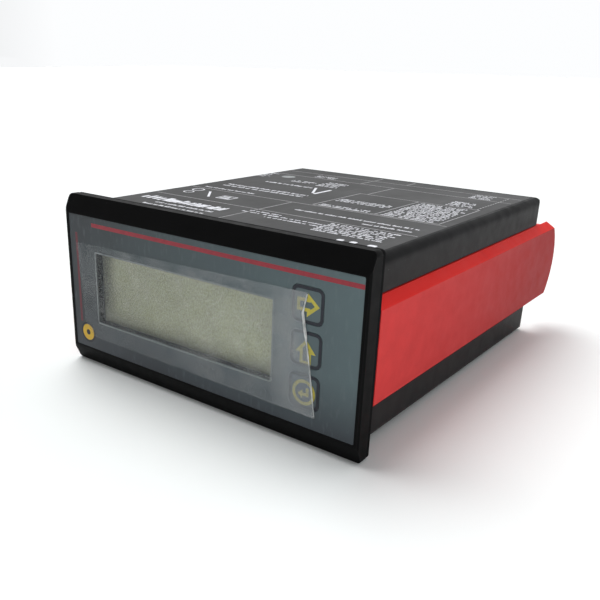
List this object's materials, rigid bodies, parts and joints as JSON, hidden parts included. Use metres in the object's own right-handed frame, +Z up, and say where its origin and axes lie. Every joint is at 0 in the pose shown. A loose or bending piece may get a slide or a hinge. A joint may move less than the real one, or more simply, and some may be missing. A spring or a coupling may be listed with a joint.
{
  "type": "loop powered display meter",
  "caption": "Panel meter with a recessed display, membrane keys, long side clamps that slide on the housing and a pluggable rear terminal.",
  "frame": {"origin": "middle of the bottom of the whole part's box, at rest", "axes": "+X to the right seen from the front, +Y from the front to the rear, +Z up"},
  "size_m": [0.096, 0.1226, 0.048],
  "materials": {
    "bezel_plastic": "fine moulded grain",
    "housing_plastic": "fine moulded grain",
    "cover_plastic": "fine moulded grain",
    "gasket_rubber": "matt",
    "foil_print": "satin printed polyester",
    "window_clear": "clear, polished",
    "film_clear": "thin clear film",
    "key_print": "satin",
    "plunger_plastic": "moulded",
    "switch_metal": "satin",
    "holder_plastic": "moulded",
    "lcd_glass": "satin polariser",
    "reflector_sheet": "silvered",
    "contact_rubber": "matt",
    "board_laminate": "solder mask",
    "screw_steel": "zinc plated",
    "strip_plastic": "moulded",
    "pin_brass": "gold flashed",
    "chip_plastic": "moulded",
    "coupler_plastic": "moulded",
    "capacitor_can": "satin",
    "ferrite_dark": "matt",
    "fuse_ceramic": "matt",
    "terminal_plastic": "moulded",
    "terminal_tin": "tin plated",
    "contact_brass": "bright",
    "clamp_plastic": "fine moulded grain",
    "label_print": "satin printed label"
  },
  "bodies": {
    "housing": {"front_bezel": "bezel_plastic", "front_foil": "foil_print", "display_window": "window_clear", "protective_film": "film_clear", "key_switches": "switch_metal", "display_holder": "holder_plastic", "lcd_front_plate": "lcd_glass", "lcd_rear_plate": "lcd_glass", "lcd_reflector": "reflector_sheet", "contact_strips": "contact_rubber", "display_board": "board_laminate", "display_screws": "screw_steel", "pin_strip": "strip_plastic", "board_pins": "pin_brass", "pin_socket": "strip_plastic", "main_board": "board_laminate", "control_chip": "chip_plastic", "status_optocoupler": "coupler_plastic", "storage_capacitors": "capacitor_can", "zener_diodes": "chip_plastic", "chip_resistors": "chip_plastic", "loop_fuse": "fuse_ceramic", "filter_choke": "ferrite_dark", "terminal_socket": "terminal_plastic", "terminal_pins": "terminal_tin", "housing_shell": "housing_plastic", "rear_cover": "cover_plastic", "cover_screws": "screw_steel", "panel_gasket": "gasket_rubber", "type_label": "label_print"},
    "right_key": {"right_key": "key_print", "right_plunger": "plunger_plastic"},
    "up_key": {"up_key": "key_print", "up_plunger": "plunger_plastic"},
    "enter_key": {"enter_key": "key_print", "enter_plunger": "plunger_plastic"},
    "right_clamp": {"right_clamp": "clamp_plastic"},
    "left_clamp": {"left_clamp": "clamp_plastic"},
    "terminal_plug": {"terminal_plug": "terminal_plastic", "plug_contacts": "contact_brass"},
    "terminal_screw_1": {"terminal_screw_1": "screw_steel"},
    "terminal_screw_2": {"terminal_screw_2": "screw_steel"},
    "terminal_screw_3": {"terminal_screw_3": "screw_steel"},
    "terminal_screw_4": {"terminal_screw_4": "screw_steel"},
    "wire_cage_1": {"wire_cage_1": "contact_brass"},
    "wire_cage_2": {"wire_cage_2": "contact_brass"},
    "wire_cage_3": {"wire_cage_3": "contact_brass"},
    "wire_cage_4": {"wire_cage_4": "contact_brass"}
  },
  "joints": [
    {"name": "right_key_press", "type": "slide", "parent": "housing", "child": "right_key", "axis": [0, 1, 0], "range_m": [0, 0.0004], "stiffness_N_per_m": 1000, "springref_m": -0.0004},
    {"name": "up_key_press", "type": "slide", "parent": "housing", "child": "up_key", "axis": [0, 1, 0], "range_m": [0, 0.0004], "stiffness_N_per_m": 1000, "springref_m": -0.0004},
    {"name": "enter_key_press", "type": "slide", "parent": "housing", "child": "enter_key", "axis": [0, 1, 0], "range_m": [0, 0.0004], "stiffness_N_per_m": 1000, "springref_m": -0.0004},
    {"name": "right_clamp_slide", "type": "slide", "parent": "housing", "child": "right_clamp", "axis": [0, 1, 0], "range_m": [0, 0.104]},
    {"name": "left_clamp_slide", "type": "slide", "parent": "housing", "child": "left_clamp", "axis": [0, 1, 0], "range_m": [0, 0.104]},
    {"name": "terminal_plug_pull", "type": "slide", "parent": "housing", "child": "terminal_plug", "axis": [0, 1, 0], "range_m": [0, 0.02]},
    {"name": "terminal_screw_1_turn", "type": "hinge", "parent": "terminal_plug", "child": "terminal_screw_1", "pos_m": [-0.00762, 0.05166, 0.02472], "axis": [0, 0, -1], "range_deg": [0, 1761]},
    {"name": "wire_cage_1_rise", "type": "slide", "parent": "terminal_plug", "child": "wire_cage_1", "axis": [0, 0, 1], "range_m": [0, 0.0022]},
    {"name": "terminal_screw_2_turn", "type": "hinge", "parent": "terminal_plug", "child": "terminal_screw_2", "pos_m": [-0.00254, 0.05166, 0.02472], "axis": [0, 0, -1], "range_deg": [0, 1761]},
    {"name": "wire_cage_2_rise", "type": "slide", "parent": "terminal_plug", "child": "wire_cage_2", "axis": [0, 0, 1], "range_m": [0, 0.0022]},
    {"name": "terminal_screw_3_turn", "type": "hinge", "parent": "terminal_plug", "child": "terminal_screw_3", "pos_m": [0.00254, 0.05166, 0.02472], "axis": [0, 0, -1], "range_deg": [0, 1761]},
    {"name": "wire_cage_3_rise", "type": "slide", "parent": "terminal_plug", "child": "wire_cage_3", "axis": [0, 0, 1], "range_m": [0, 0.0022]},
    {"name": "terminal_screw_4_turn", "type": "hinge", "parent": "terminal_plug", "child": "terminal_screw_4", "pos_m": [0.00762, 0.05166, 0.02472], "axis": [0, 0, -1], "range_deg": [0, 1761]},
    {"name": "wire_cage_4_rise", "type": "slide", "parent": "terminal_plug", "child": "wire_cage_4", "axis": [0, 0, 1], "range_m": [0, 0.0022]}
  ],
  "couplings": [
    {"joint": "terminal_screw_1_turn", "follows": "wire_cage_1_rise", "rad_per_m": 13963},
    {"joint": "terminal_screw_2_turn", "follows": "wire_cage_2_rise", "rad_per_m": 13963},
    {"joint": "terminal_screw_3_turn", "follows": "wire_cage_3_rise", "rad_per_m": 13963},
    {"joint": "terminal_screw_4_turn", "follows": "wire_cage_4_rise", "rad_per_m": 13963}
  ]
}
